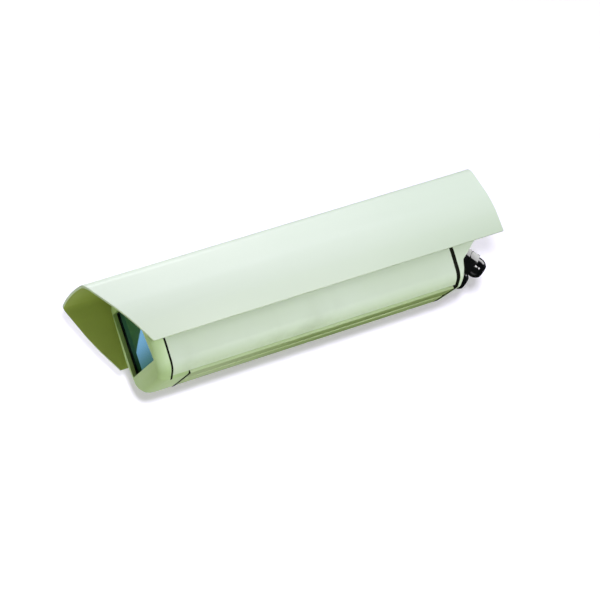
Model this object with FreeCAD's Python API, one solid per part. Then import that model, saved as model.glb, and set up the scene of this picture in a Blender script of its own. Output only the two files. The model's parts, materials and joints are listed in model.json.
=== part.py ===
# Security camera housing: side-opening body, capped ends, sunshield and two cable glands.
# X is lateral with the hinge on the plus side, Y runs from the window to the rear, Z is up.
# The origin is the centre of the two tapped holes in the underside. Millimetres.

import FreeCAD, Part
import math
import os

# Driving dimensions

FACE_Y = -203.5
CAP_FRONT_DEPTH = 14.0
COVER_FRONT_Y = -187.5
COVER_REAR_Y = 163.1
REAR_SEAL_T = 4.2
REAR_DEPTH = 32.6
REAR_BLEND_DEPTH = 17.0
BODY_HALF_W = 57.5
BODY_FOOT_HALF = 51.5
BODY_FLAT_HALF = 33.0
BODY_ROOF_HALF = 43.0
BODY_FOOT_Z = 9.0
BODY_WAIST_Z = 41.5
BODY_TOP_Z = 109.5
BODY_BOTTOM_Z = 0.0
SOLE_R = 10.0
FOOT_R = 16.0
WAIST_R = 40.0
ROOF_R = 12.0
WALL = 2.5
CAP_WALL = 3.5

BASE_FRONT_Y = -166.2
BASE_PLATE_T = 3.0
BASE_EDGE_X = -34.8

HINGE_X = 36.5
HINGE_Z = 8.15
BEAD_R = 2.6
HINGE_GAP = 0.3
HOOK_T = 2.0

WINDOW_LOW_Z = 23.8
WINDOW_HIGH_Z = 96.0
WINDOW_LOW_HALF = 44.6
WINDOW_HIGH_HALF = 37.0
WINDOW_CORNER_R = 1.5
WINDOW_SEAL_T = 1.5
FACE_T = 4.5
GLASS_T = 3.0

SHIELD_HALF_W = 75.0
SHIELD_EDGE_Z = 39.5
SHIELD_RISE = 16.5
SHIELD_CROWN_R = 400.0
SHIELD_SHOULDER_X = 52.0
SHIELD_SHOULDER_DROP = 4.3
SHIELD_SHOULDER_R = 14.0
SHIELD_WING_Z = 75.5
SHIELD_WING_R = 70.0
SHIELD_T = 3.0
SHIELD_REAR_Y = 225.6
SHIELD_FRONT_Y = -205.7
SHIELD_RAKE = 28.75
SHIELD_SCREW_R = 2.4
SHIELD_SCREW_DEPTH = 7.0
SPACER_R = 6.5
SHIELD_WASHER_R = 8.0

SLANT_START = 8.7
SLANT_LOW_Z = 25.5
SLANT_END = 0.2
SLANT_HIGH_Z = 44.0
GLAND_DROP = 1.5
GLAND_EDGE = 31.5
GLAND_AF = 24.0
GLAND_THREAD_R = 10.0
GLAND_BORE_R = 5.0
GLAND_BARREL_R = 9.4
GLAND_BARREL_H = 9.0
GLAND_SPIGOT_H = 12.5
WASHER_T = 1.2
FLANGE_T = 7.0
LOCKNUT_T = 5.0
NUT_H = 23.2

MOUNT_PITCH = 70.0
MOUNT_HOLE_R = 4.2
MOUNT_PAD_R = 9.0
GROOVE_HALF = 3.5
GROOVE_T = 1.3

TRACK_FRONT_Y = -130.0
TRACK_REAR_Y = 85.0
TRACK_INNER_X = 18.2
HOOD_W = 3.0
TRACK_WALL_T = 2.2
HOOD_Z = 7.3
TRACK_TOP_Z = 9.1

SLIDE_FRONT_Y = -90.0
SLIDE_REAR_Y = 30.0
SLIDE_HALF = 17.6
SLIDE_LEG_T = 2.4
SLIDE_FOOT_W = 3.2
SLIDE_FOOT_T = 3.0
SLIDE_FOOT_Z = 3.9
DECK_Z = 10.9
DECK_T = 2.6
SLOT_FRONT_Y = -75.0
SLOT_REAR_Y = -25.0
SLOT_R = 3.5
RELIEF_FRONT_Y = -8.0
RELIEF_REAR_Y = 18.0
RELIEF_R = 8.0

PAD_HALF = 17.0
PAD_FRONT_Y = -84.0
PAD_REAR_Y = -18.0
PAD_T = 2.0
PAD_CORNER_R = 3.0
PAD_SLOT_R = 4.2

KNOB_Y = -50.0
KNOB_R = 10.0
KNOB_H = 5.1
NECK_R = 2.9
STUD_R = 3.15
STUD_H = 6.0

HEATER_SIDE_X = -17.0
HEATER_FRONT_Y = -160.0
HEATER_DEPTH = 24.0
HEATER_BASE_T = 5.0
HEATER_FIN_H = 14.5
HEATER_FIN_T = 2.2
HEATER_PITCH = 5.6
HEATER_FINS = 8

SWITCH_X = 6.0
SWITCH_Y = 93.0
SWITCH_R = 7.0
SWITCH_H = 6.5
SWITCH_CAP_R = 5.5
SWITCH_CAP_H = 2.0
BLADE_H = 7.0

BOARD_SIDE_X = -15.0
BOARD_FRONT_Y = 104.0
BOARD_W = 42.0
BOARD_L = 54.0
BOARD_Z = 10.0
BOARD_T = 1.6
BOARD_HOLE_EDGE = 4.0
BOARD_HOLE_R = 1.8

BLOCK_SIDE_X = -10.0
BLOCK_FRONT_Y = 124.0
BLOCK_DEPTH = 12.0
BLOCK_H = 11.0
BLOCK_PITCH = 5.5
BLOCK_WAYS = 6

EARTH_X = 24.5
EARTH_Y = 98.0
EARTH_WASHER_T = 0.8

# Derived dimensions and named clearances

FIT = 0.3
RUN = 0.15
SEAL_FRONT_Y = FACE_Y + CAP_FRONT_DEPTH
REAR_CAP_Y = COVER_REAR_Y + REAR_SEAL_T
REAR_END_Y = REAR_CAP_Y + REAR_DEPTH
BASE_REAR_Y = COVER_REAR_Y - FIT
PLATE_TOP = BODY_BOTTOM_Z + BASE_PLATE_T
RAIL_INNER_X = BASE_EDGE_X + 10.8
RAIL_TOP = 7.4
STRIP_T = 0.7
LIP_Z = RAIL_TOP + STRIP_T + 0.1
LIP_T = 2.8
LIP_INNER_X = RAIL_INNER_X - 1.0
CLOSE_X = BASE_EDGE_X + 5.2
CLOSE_PITCH = 130.0
CLOSE_Y = (-CLOSE_PITCH, 0.0, CLOSE_PITCH)
SHIELD_CROWN_Z = BODY_TOP_Z + SHIELD_RISE
SLANT_LOW = (REAR_CAP_Y + SLANT_START, SLANT_LOW_Z)
SLANT_HIGH = (REAR_END_Y - SLANT_END, SLANT_HIGH_Z)
GLAND_PITCH = 2.0 * (BODY_HALF_W - GLAND_EDGE)
HOOK_R0 = BEAD_R + HINGE_GAP
HOOK_R1 = HOOK_R0 + HOOK_T
HOOK_TIP_X = HINGE_X + BEAD_R * 0.75
STEM_X = HINGE_X - 7.5
SEAL_TAB_X = STEM_X + 1.5
CHIN_T = 3.1
SEAL_NECK = 0.4
SOLE_SLOPE = (BODY_FOOT_Z - BODY_BOTTOM_Z) / (BODY_FOOT_HALF - BODY_FLAT_HALF)
SEAL_NECK_X = min(HOOK_TIP_X, BODY_FLAT_HALF + (CHIN_T - SEAL_NECK) / SOLE_SLOPE)
PLATE_EDGE_X = HINGE_X - 4.3
GLASS_Y = FACE_Y + FACE_T + WINDOW_SEAL_T
RETAINER_Y = GLASS_Y + GLASS_T
SHIELD_FIX_MID_Y = 15.0
SHIELD_FIX_PITCH = 135.0
SHIELD_FIX_Y = (SHIELD_FIX_MID_Y - SHIELD_FIX_PITCH, SHIELD_FIX_MID_Y,
                SHIELD_FIX_MID_Y + SHIELD_FIX_PITCH)
LOW_BOLT = (BODY_FOOT_HALF - 11.5, BODY_BOTTOM_Z + 15.5)
HIGH_BOLT = (BODY_ROOF_HALF - 32.5, BODY_TOP_Z - 6.6)
DECK_TOP = DECK_Z + DECK_T
PAD_TOP = DECK_TOP + PAD_T


def vec(x, y, z):
    return FreeCAD.Vector(x, y, z)


def inset_lines(points, inset):
    """Moves every side of a convex outline inward and returns the new corners."""
    count = len(points)
    sides = []
    for i in range(count):
        x0, z0 = points[i]
        x1, z1 = points[(i + 1) % count]
        length = math.hypot(x1 - x0, z1 - z0)
        dx = (x1 - x0) / length
        dz = (z1 - z0) / length
        sides.append((x0 - dz * inset, z0 + dx * inset, dx, dz))
    corners = []
    for i in range(count):
        ax, az, adx, adz = sides[i - 1]
        bx, bz, bdx, bdz = sides[i]
        cross = adx * bdz - adz * bdx
        t = ((bx - ax) * bdz - (bz - az) * bdx) / cross
        corners.append((ax + adx * t, az + adz * t))
    return corners


def rounded_wire(points, radii, y, inset=0.0):
    """Closed outline in the plane of one Y, counter-clockwise corners, each with its own radius."""
    corners = inset_lines(points, inset)
    count = len(corners)
    starts = []
    mids = []
    ends = []
    for i in range(count):
        px, pz = corners[i - 1]
        cx, cz = corners[i]
        nx, nz = corners[(i + 1) % count]
        radius = max(radii[i] - inset, 0.4)
        ax, az = px - cx, pz - cz
        bx, bz = nx - cx, nz - cz
        la = math.hypot(ax, az)
        lb = math.hypot(bx, bz)
        ax, az, bx, bz = ax / la, az / la, bx / lb, bz / lb
        half = math.acos(max(-1.0, min(1.0, ax * bx + az * bz))) / 2.0
        run = radius / math.tan(half)
        mx, mz = ax + bx, az + bz
        lm = math.hypot(mx, mz)
        reach = radius / math.sin(half) - radius
        starts.append(vec(cx + ax * run, y, cz + az * run))
        mids.append(vec(cx + mx / lm * reach, y, cz + mz / lm * reach))
        ends.append(vec(cx + bx * run, y, cz + bz * run))
    edges = []
    for i in range(count):
        edges.append(Part.Arc(starts[i], mids[i], ends[i]).toShape())
        edges.append(Part.makeLine(ends[i], starts[(i + 1) % count]))
    return Part.Wire(edges)


def prism(wire, depth):
    return Part.Face(wire).extrude(vec(0, depth, 0))


def body_corners():
    right = [(BODY_FLAT_HALF, BODY_BOTTOM_Z), (BODY_FOOT_HALF, BODY_FOOT_Z),
             (BODY_HALF_W, BODY_WAIST_Z), (BODY_ROOF_HALF, BODY_TOP_Z)]
    left = [(-x, z) for x, z in reversed(right)]
    return right + left


BODY_RADII = [SOLE_R, FOOT_R, WAIST_R, ROOF_R, ROOF_R, WAIST_R, FOOT_R, SOLE_R]


def body_wire(y, inset=0.0):
    return rounded_wire(body_corners(), BODY_RADII, y, inset)


def body_block(y0, y1, inset=0.0):
    return prism(body_wire(y0, inset), y1 - y0)


def box(x0, x1, y0, y1, z0, z1):
    return Part.makeBox(x1 - x0, y1 - y0, z1 - z0, vec(x0, y0, z0))


def rod(x, y, z, radius, length, axis):
    return Part.makeCylinder(radius, length, vec(x, y, z), axis)


def sided(side, x0, x1, y0, y1, z0, z1):
    """Box on the plus or minus side, its X limits given as distances from the middle."""
    return box(min(side * x0, side * x1), max(side * x0, side * x1), y0, y1, z0, z1)


def long_slot(y0, y1, z0, z1, radius):
    """Round-ended slot on the middle line."""
    ends = [upright(0, y0, z0, z1, radius), upright(0, y1, z0, z1, radius)]
    return box(-radius, radius, y0, y1, z0, z1).fuse(ends)


def upright(x, y, z0, z1, radius):
    return rod(x, y, z0, radius, z1 - z0, vec(0, 0, 1))


def along(x, z, y0, y1, radius):
    return rod(x, y0, z, radius, y1 - y0, vec(0, 1, 0))


def cross_prism(points, x0, x1):
    """Straight-sided outline in YZ drawn out along X."""
    wire = Part.makePolygon([vec(x0, y, z) for y, z in points + points[:1]])
    return Part.Face(wire).extrude(vec(x1 - x0, 0, 0))


def ring_sector(radius0, radius1, angle0, angle1, y0, y1):
    """Part of a tube about the hinge axis between two angles in degrees."""
    def at(radius, angle):
        a = math.radians(angle)
        return vec(HINGE_X + radius * math.cos(a), y0, HINGE_Z + radius * math.sin(a))
    middle = (angle0 + angle1) / 2.0
    outer = Part.Arc(at(radius1, angle0), at(radius1, middle), at(radius1, angle1)).toShape()
    inner = Part.Arc(at(radius0, angle1), at(radius0, middle), at(radius0, angle0)).toShape()
    end = Part.makeLine(at(radius1, angle1), at(radius0, angle1))
    start = Part.makeLine(at(radius0, angle0), at(radius1, angle0))
    return Part.Face(Part.Wire([outer, end, inner, start])).extrude(vec(0, y1 - y0, 0))


def hexagon(across_flats, height):
    """Six-sided block standing on the origin, flats square to X."""
    radius = across_flats / math.sqrt(3.0)
    points = []
    for i in range(7):
        a = math.radians(60.0 * i)
        points.append(vec(radius * math.cos(a), radius * math.sin(a), 0))
    return Part.Face(Part.makePolygon(points)).extrude(vec(0, 0, height))


def export(shape, node):
    shape.exportStep("parts/" + node + ".step")


# Base tray and the parts it carries

def base_tray():
    y0, y1 = BASE_FRONT_Y, BASE_REAR_Y
    plate = box(BASE_EDGE_X, PLATE_EDGE_X, y0, y1, BODY_BOTTOM_Z, PLATE_TOP)
    rail = box(BASE_EDGE_X, RAIL_INNER_X, y0, y1, BODY_BOTTOM_Z, RAIL_TOP)
    stem = box(STEM_X, STEM_X + 2.2, y0, y1, BODY_BOTTOM_Z, HINGE_Z + 1.0)
    web = box(STEM_X, HINGE_X - 1.6, y0, y1, HINGE_Z - 0.8, HINGE_Z + 1.0)
    bead = along(HINGE_X, HINGE_Z, y0, y1, BEAD_R)
    solid = plate.fuse([rail, stem]).common(body_block(y0, y1)).fuse([web, bead])
    wall_x = TRACK_INNER_X + HOOD_W
    for side in (-1, 1):
        wall = sided(side, wall_x, wall_x + TRACK_WALL_T, TRACK_FRONT_Y, TRACK_REAR_Y, PLATE_TOP, TRACK_TOP_Z)
        hood = sided(side, TRACK_INNER_X, wall_x, TRACK_FRONT_Y, TRACK_REAR_Y, HOOD_Z, TRACK_TOP_Z)
        solid = solid.fuse(wall.fuse(hood))
    cuts = [box(-GROOVE_HALF, GROOVE_HALF, y0, y1, BODY_BOTTOM_Z, BODY_BOTTOM_Z + GROOVE_T)]
    for y in CLOSE_Y:
        cuts.append(upright(CLOSE_X, y, 0.0, 4.7, 3.9))
        cuts.append(upright(CLOSE_X, y, 0.0, 9.5, 2.3))
    for y in (-MOUNT_PITCH / 2, MOUNT_PITCH / 2):
        solid = solid.fuse(upright(0.0, y, BODY_BOTTOM_Z, PLATE_TOP + 0.6, MOUNT_PAD_R))
        cuts.append(upright(0.0, y, -1.0, 6.0, MOUNT_HOLE_R))
    cuts.append(upright(EARTH_X, EARTH_Y, 0.8, 5.0, 1.9))
    return solid.cut(cuts).removeSplitter()


def base_seal():
    """Flat strip under the cover lip and a cross strip at the front end."""
    strip = box(BASE_EDGE_X + 0.8, RAIL_INNER_X - 0.5, BASE_FRONT_Y, BASE_REAR_Y,
                RAIL_TOP, RAIL_TOP + STRIP_T)
    for y in CLOSE_Y:
        strip = strip.cut(upright(CLOSE_X, y, RAIL_TOP - 1.0, RAIL_TOP + 2.0, 2.6))
    y0, y1 = BASE_FRONT_Y - 1.8, BASE_FRONT_Y
    cross = box(BASE_EDGE_X, STEM_X + 2.0, y0, y1, BODY_BOTTOM_Z, RAIL_TOP + STRIP_T)
    cross = cross.fuse(box(STEM_X, PLATE_EDGE_X - 0.2, y0, y1, BODY_BOTTOM_Z, PLATE_TOP))
    cross = cross.common(body_block(y0 - 0.2, y1 + 1.0))
    return strip.fuse(cross).removeSplitter()


def closing_screw(y):
    head = upright(CLOSE_X, y, 1.5, 4.6, 3.5)
    shank = upright(CLOSE_X, y, 4.6, 11.4, 2.0)
    solid = head.fuse(shank).removeSplitter()
    socket = hexagon(3.0, 1.8)
    socket.translate(vec(CLOSE_X, y, 1.5))
    return solid.cut(socket)


def camera_slide():
    """Channel with feet under the hoods of the track and a slot for the fixing screw."""
    y0, y1 = SLIDE_FRONT_Y, SLIDE_REAR_Y
    leg_x = SLIDE_HALF - SLIDE_LEG_T
    solid = box(-SLIDE_HALF, SLIDE_HALF, y0, y1, DECK_Z, DECK_TOP)
    for side in (-1, 1):
        leg = sided(side, leg_x, SLIDE_HALF, y0, y1, SLIDE_FOOT_Z, DECK_Z)
        foot = sided(side, SLIDE_HALF, SLIDE_HALF + SLIDE_FOOT_W, y0, y1,
                     SLIDE_FOOT_Z, SLIDE_FOOT_Z + SLIDE_FOOT_T)
        solid = solid.fuse(leg.fuse(foot))
    slot = long_slot(SLOT_FRONT_Y, SLOT_REAR_Y, DECK_Z - 1.0, DECK_TOP + 1.0, SLOT_R)
    relief = long_slot(RELIEF_FRONT_Y, RELIEF_REAR_Y, DECK_Z - 1.0, DECK_TOP + 1.0, RELIEF_R)
    return solid.cut([slot, relief]).removeSplitter()


def camera_pad():
    pad = box(-PAD_HALF, PAD_HALF, PAD_FRONT_Y, PAD_REAR_Y, DECK_TOP, PAD_TOP)
    corners = [e for e in pad.Edges if abs(e.Vertexes[0].Z - e.Vertexes[1].Z) > 1.0]
    pad = pad.makeFillet(PAD_CORNER_R, corners)
    return pad.cut(long_slot(SLOT_FRONT_Y, SLOT_REAR_Y, DECK_Z, PAD_TOP + 1.0, PAD_SLOT_R))


def camera_knob():
    """Thumb screw with a scalloped head below the slide and a standing stud."""
    under = DECK_Z - FIT
    head = upright(0, KNOB_Y, under - KNOB_H, under, KNOB_R)
    scallops = []
    for i in range(10):
        a = math.radians(36.0 * i)
        x, y = 1.1 * KNOB_R * math.cos(a), KNOB_Y + 1.1 * KNOB_R * math.sin(a)
        scallops.append(upright(x, y, under - KNOB_H - 1.0, under + 1.0, 0.2 * KNOB_R))
    neck = upright(0, KNOB_Y, under, PAD_TOP, NECK_R)
    stud = upright(0, KNOB_Y, PAD_TOP, PAD_TOP + STUD_H, STUD_R)
    return head.cut(scallops).fuse([neck, stud]).removeSplitter()


def heater_block():
    """Finned block standing on the plate behind the window."""
    width = (HEATER_FINS - 1) * HEATER_PITCH + HEATER_FIN_T
    x0, y0, y1 = HEATER_SIDE_X, HEATER_FRONT_Y, HEATER_FRONT_Y + HEATER_DEPTH
    top = PLATE_TOP + HEATER_BASE_T
    solid = box(x0, x0 + width, y0, y1, PLATE_TOP, top)
    fins = []
    for i in range(HEATER_FINS):
        x = x0 + i * HEATER_PITCH
        fins.append(box(x, x + HEATER_FIN_T, y0, y1, top, top + HEATER_FIN_H))
    holes = []
    for i in (1.5, HEATER_FINS - 2.5):
        x = x0 + HEATER_FIN_T / 2 + i * HEATER_PITCH
        holes.append(upright(x, (y0 + y1) / 2, PLATE_TOP + 1.0, top + 1.0, 0.9))
    return solid.fuse(fins).cut(holes).removeSplitter()


def heater_switch():
    """Round bimetal switch with its mounting tab and two blade contacts."""
    x, y = SWITCH_X, SWITCH_Y
    body_top = PLATE_TOP + SWITCH_H
    cap_top = body_top + SWITCH_CAP_H
    solid = box(x - SWITCH_R - 5.5, x + SWITCH_R + 5.5, y - 4.0, y + 4.0, PLATE_TOP, PLATE_TOP + 1.2)
    solid = solid.fuse(upright(x, y, PLATE_TOP, body_top, SWITCH_R))
    solid = solid.fuse(upright(x, y, body_top, cap_top, SWITCH_CAP_R))
    blades = [box(x - 4.0, x - 3.2, y - 2.5, y + 2.5, cap_top, cap_top + BLADE_H),
              box(x + 3.2, x + 4.0, y - 2.5, y + 2.5, cap_top, cap_top + BLADE_H)]
    return solid.fuse(blades).removeSplitter()


def board_places():
    x0, x1 = BOARD_SIDE_X + BOARD_HOLE_EDGE, BOARD_SIDE_X + BOARD_W - BOARD_HOLE_EDGE
    y0, y1 = BOARD_FRONT_Y + BOARD_HOLE_EDGE, BOARD_FRONT_Y + BOARD_L - BOARD_HOLE_EDGE
    return [(x0, y0), (x1, y0), (x0, y1), (x1, y1)]


def terminal_board():
    board = box(BOARD_SIDE_X, BOARD_SIDE_X + BOARD_W, BOARD_FRONT_Y, BOARD_FRONT_Y + BOARD_L,
                BOARD_Z, BOARD_Z + BOARD_T)
    for x, y in board_places():
        board = board.cut(upright(x, y, BOARD_Z - 1.0, BOARD_Z + BOARD_T + 1.0, BOARD_HOLE_R))
    return board


def board_standoffs():
    posts = []
    for x, y in board_places():
        post = hexagon(5.5, BOARD_Z - PLATE_TOP)
        post.translate(vec(x, y, PLATE_TOP))
        posts.append(post.cut(upright(x, y, BOARD_Z - 5.0, BOARD_Z + 1.0, BOARD_HOLE_R - 0.2)))
    return Part.makeCompound(posts)


def board_screws():
    screws = []
    top = BOARD_Z + BOARD_T
    for x, y in board_places():
        head = upright(x, y, top, top + 2.0, BOARD_HOLE_R + 1.0)
        slot = box(x - 3.0, x + 3.0, y - 0.4, y + 0.4, top + 1.2, top + 2.1)
        shank = upright(x, y, top - 5.0, top, BOARD_HOLE_R - 0.4)
        screws.append(head.fuse(shank).removeSplitter().cut(slot))
    return Part.makeCompound(screws)


def terminal_block():
    """Row of ways with screw wells on top and wire entries to the rear."""
    z0, y0 = BOARD_Z + BOARD_T, BLOCK_FRONT_Y
    rear = y0 + BLOCK_DEPTH
    points = [(y0, z0), (rear, z0), (rear, z0 + BLOCK_H - 4.5), (rear - 3.0, z0 + BLOCK_H),
              (y0, z0 + BLOCK_H)]
    solid = cross_prism(points, BLOCK_SIDE_X, BLOCK_SIDE_X + BLOCK_WAYS * BLOCK_PITCH)
    cuts = []
    for i in range(BLOCK_WAYS):
        x = BLOCK_SIDE_X + BLOCK_PITCH * (i + 0.5)
        cuts.append(upright(x, y0 + 4.5, z0 + BLOCK_H - 5.0, z0 + BLOCK_H + 1.0, 1.7))
        cuts.append(box(x - 1.7, x + 1.7, y0 + 6.0, rear + 1.0, z0 + 1.2, z0 + 5.0))
    return solid.cut(cuts)


def ground_screw():
    seat = PLATE_TOP + EARTH_WASHER_T
    head = hexagon(7.0, 2.6)
    head.translate(vec(EARTH_X, EARTH_Y, seat))
    return head.fuse(upright(EARTH_X, EARTH_Y, PLATE_TOP - 2.0, seat, 1.75)).removeSplitter()


def ground_washer():
    disc = upright(EARTH_X, EARTH_Y, PLATE_TOP, PLATE_TOP + EARTH_WASHER_T, 4.4)
    return disc.cut(upright(EARTH_X, EARTH_Y, PLATE_TOP - 1.0, PLATE_TOP + 2.0, 2.05))


# Upper body: extruded cover, end caps, seals and window

def shield_fix_holes():
    """Clearance through the roof for the sunshield's screws."""
    radius, low = SHIELD_SCREW_R + RUN, BODY_TOP_Z - SHIELD_SCREW_DEPTH - 0.5
    return [upright(0.0, y, low, BODY_TOP_Z + 1.0, radius) for y in SHIELD_FIX_Y]


def cover():
    """One extruded section: curved walls, flat roof, hinge hook, closing lip and roof rib."""
    y0, y1 = COVER_FRONT_Y, COVER_REAR_Y
    outer = body_block(y0, y1)
    shell = outer.cut(body_block(y0 - 1.0, y1 + 1.0, WALL))
    shell = shell.cut(box(BASE_EDGE_X - 0.6, HOOK_TIP_X, y0 - 1.0, y1 + 1.0, -1.0, 7.0))
    hook = ring_sector(HOOK_R0, HOOK_R1, -66.0, 150.0, y0, y1)
    lip = box(-50.0, LIP_INNER_X, y0, y1, LIP_Z, LIP_Z + LIP_T).common(outer)
    rib = box(-6.0, 6.0, y0, y1, BODY_TOP_Z - WALL - 6.0, BODY_TOP_Z - WALL)
    solid = shell.fuse([hook, lip, rib])
    cuts = [along(HINGE_X, HINGE_Z, y0 - 1.0, y1 + 1.0, HOOK_R0)]
    for y in CLOSE_Y:
        cuts.append(upright(CLOSE_X, y, 6.0, 12.5, 2.5))
    return solid.cut(cuts + shield_fix_holes()).removeSplitter()


def window_corners(grow=0.0):
    low, high = WINDOW_LOW_HALF, WINDOW_HIGH_HALF
    points = [(low, WINDOW_LOW_Z), (high, WINDOW_HIGH_Z), (-high, WINDOW_HIGH_Z), (-low, WINDOW_LOW_Z)]
    return inset_lines(points, -grow)


def window_block(y0, y1, grow=0.0):
    radius = WINDOW_CORNER_R + grow
    return prism(rounded_wire(window_corners(grow), [radius] * 4, y0), y1 - y0)


RETAINER_X = BODY_FLAT_HALF - 7.0
RETAINER_LOW_Z = WINDOW_LOW_Z - 6.9
RETAINER_HIGH_Z = WINDOW_HIGH_Z + 6.1
RETAINER_HOLES = [(RETAINER_X, RETAINER_LOW_Z), (-RETAINER_X, RETAINER_LOW_Z),
                  (RETAINER_X, RETAINER_HIGH_Z), (-RETAINER_X, RETAINER_HIGH_Z)]


def seal_tab_room():
    """Notch through the near end of the chin for the foot of the front seal."""
    return box(SEAL_TAB_X, HOOK_TIP_X + 1.0, SEAL_FRONT_Y, COVER_FRONT_Y, BODY_BOTTOM_Z - 1.0,
               BODY_BOTTOM_Z + CHIN_T + 1.0)


def front_cap():
    """Cast cap: soft tapered rim, recessed window, hollow back and a chin below the cover."""
    back = body_wire(SEAL_FRONT_Y)
    waist = body_wire(FACE_Y + 8.5, 0.6)
    cheek = body_wire(FACE_Y + 3.6, 2.3)
    brow = body_wire(FACE_Y + 1.0, 4.5)
    face = body_wire(FACE_Y, 6.4)
    solid = Part.makeLoft([back, waist, cheek, brow, face], True, True)
    chin = box(BASE_EDGE_X - 0.1, HOOK_TIP_X - FIT, SEAL_FRONT_Y, BASE_FRONT_Y - 2.1,
               BODY_BOTTOM_Z, BODY_BOTTOM_Z + CHIN_T)
    chin = chin.common(body_block(SEAL_FRONT_Y - 1.0, BASE_FRONT_Y)).cut(seal_tab_room())
    hollow = body_block(FACE_Y + FACE_T, SEAL_FRONT_Y + 1.0, CAP_WALL + 1.0)
    solid = solid.cut(hollow)
    posts = []
    holes = []
    for x, z in RETAINER_HOLES:
        posts.append(along(x, z, FACE_Y + FACE_T - 0.5, RETAINER_Y - 0.05, 2.8))
        holes.append(along(x, z, FACE_Y + 3.5, RETAINER_Y + 1.0, 1.55))
    for x, z in (LOW_BOLT, HIGH_BOLT):
        for side in (-1, 1):
            posts.append(along(side * x, z, FACE_Y + FACE_T - 0.5, SEAL_FRONT_Y, 3.2))
            holes.append(along(side * x, z, FACE_Y + 6.0, SEAL_FRONT_Y + 1.0, 2.1))
    inside = body_block(FACE_Y + 1.0, SEAL_FRONT_Y, 2.0)
    solid = solid.fuse([post.common(inside) for post in posts] + [chin])
    holes.append(window_block(FACE_Y - 1.0, FACE_Y + FACE_T + 1.0))
    return solid.cut(holes).removeSplitter()


def window_seal():
    ring = window_block(FACE_Y + FACE_T, GLASS_Y, 3.2)
    return ring.cut(window_block(FACE_Y, GLASS_Y + 1.0, -0.7))


def window_glass():
    return window_block(GLASS_Y, RETAINER_Y, 3.0)


def glass_retainer():
    """Pressed frame over the glass edge with four ears."""
    solid = window_block(RETAINER_Y, RETAINER_Y + 2.0, 3.2)
    for x, z in RETAINER_HOLES:
        inner = WINDOW_LOW_Z if z < WINDOW_LOW_Z else WINDOW_HIGH_Z
        z0, z1 = min(z, inner), max(z, inner)
        ear = box(x - 2.8, x + 2.8, RETAINER_Y, RETAINER_Y + 2.0, z0, z1)
        solid = solid.fuse(ear.fuse(along(x, z, RETAINER_Y, RETAINER_Y + 2.0, 2.8)))
    holes = [along(x, z, RETAINER_Y - 1.0, RETAINER_Y + 3.0, 1.8) for x, z in RETAINER_HOLES]
    holes.append(window_block(RETAINER_Y - 1.0, RETAINER_Y + 3.0, -0.6))
    return solid.cut(holes).removeSplitter()


def retainer_screws():
    screws = []
    seat = RETAINER_Y + 2.0
    for x, z in RETAINER_HOLES:
        head = along(x, z, seat, seat + 1.8, 2.7)
        slot = box(x - 3.0, x + 3.0, seat + 1.1, seat + 2.0, z - 0.4, z + 0.4)
        screws.append(head.fuse(along(x, z, seat - 6.0, seat, 1.3)).removeSplitter().cut(slot))
    return Part.makeCompound(screws)


def front_seal():
    y0, y1 = SEAL_FRONT_Y, COVER_FRONT_Y
    ring = body_block(y0, y1, 0.2).cut(body_block(y0 - 1.0, y1 + 1.0, WALL + 1.6))
    gap = box(BASE_EDGE_X - 0.6, SEAL_TAB_X, y0 - 1.0, y1 + 1.0, -1.0, 7.4)
    over = box(SEAL_TAB_X - 1.0, SEAL_NECK_X, y0 - 1.0, y1 + 1.0, BODY_BOTTOM_Z + CHIN_T, 7.4)
    return ring.cut([gap, over])


def rear_seal():
    y0, y1 = COVER_REAR_Y, REAR_CAP_Y
    ring = body_block(y0, y1, 0.25).cut(body_block(y0 - 1.0, y1 + 1.0, WALL + 2.0))
    hinge_room = along(HINGE_X, HINGE_Z, y0 - 1.0, y0 + 0.5, BEAD_R + 0.4)
    bolts = [along(side * LOW_BOLT[0], LOW_BOLT[1], y0 - 1.0, y1 + 1.0, 2.6) for side in (-1, 1)]
    bolts += [along(side * HIGH_BOLT[0], HIGH_BOLT[1], y0 - 1.0, y1 + 1.0, 2.6) for side in (-1, 1)]
    return ring.cut(bolts + [hinge_room] + shield_fix_holes())


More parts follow.
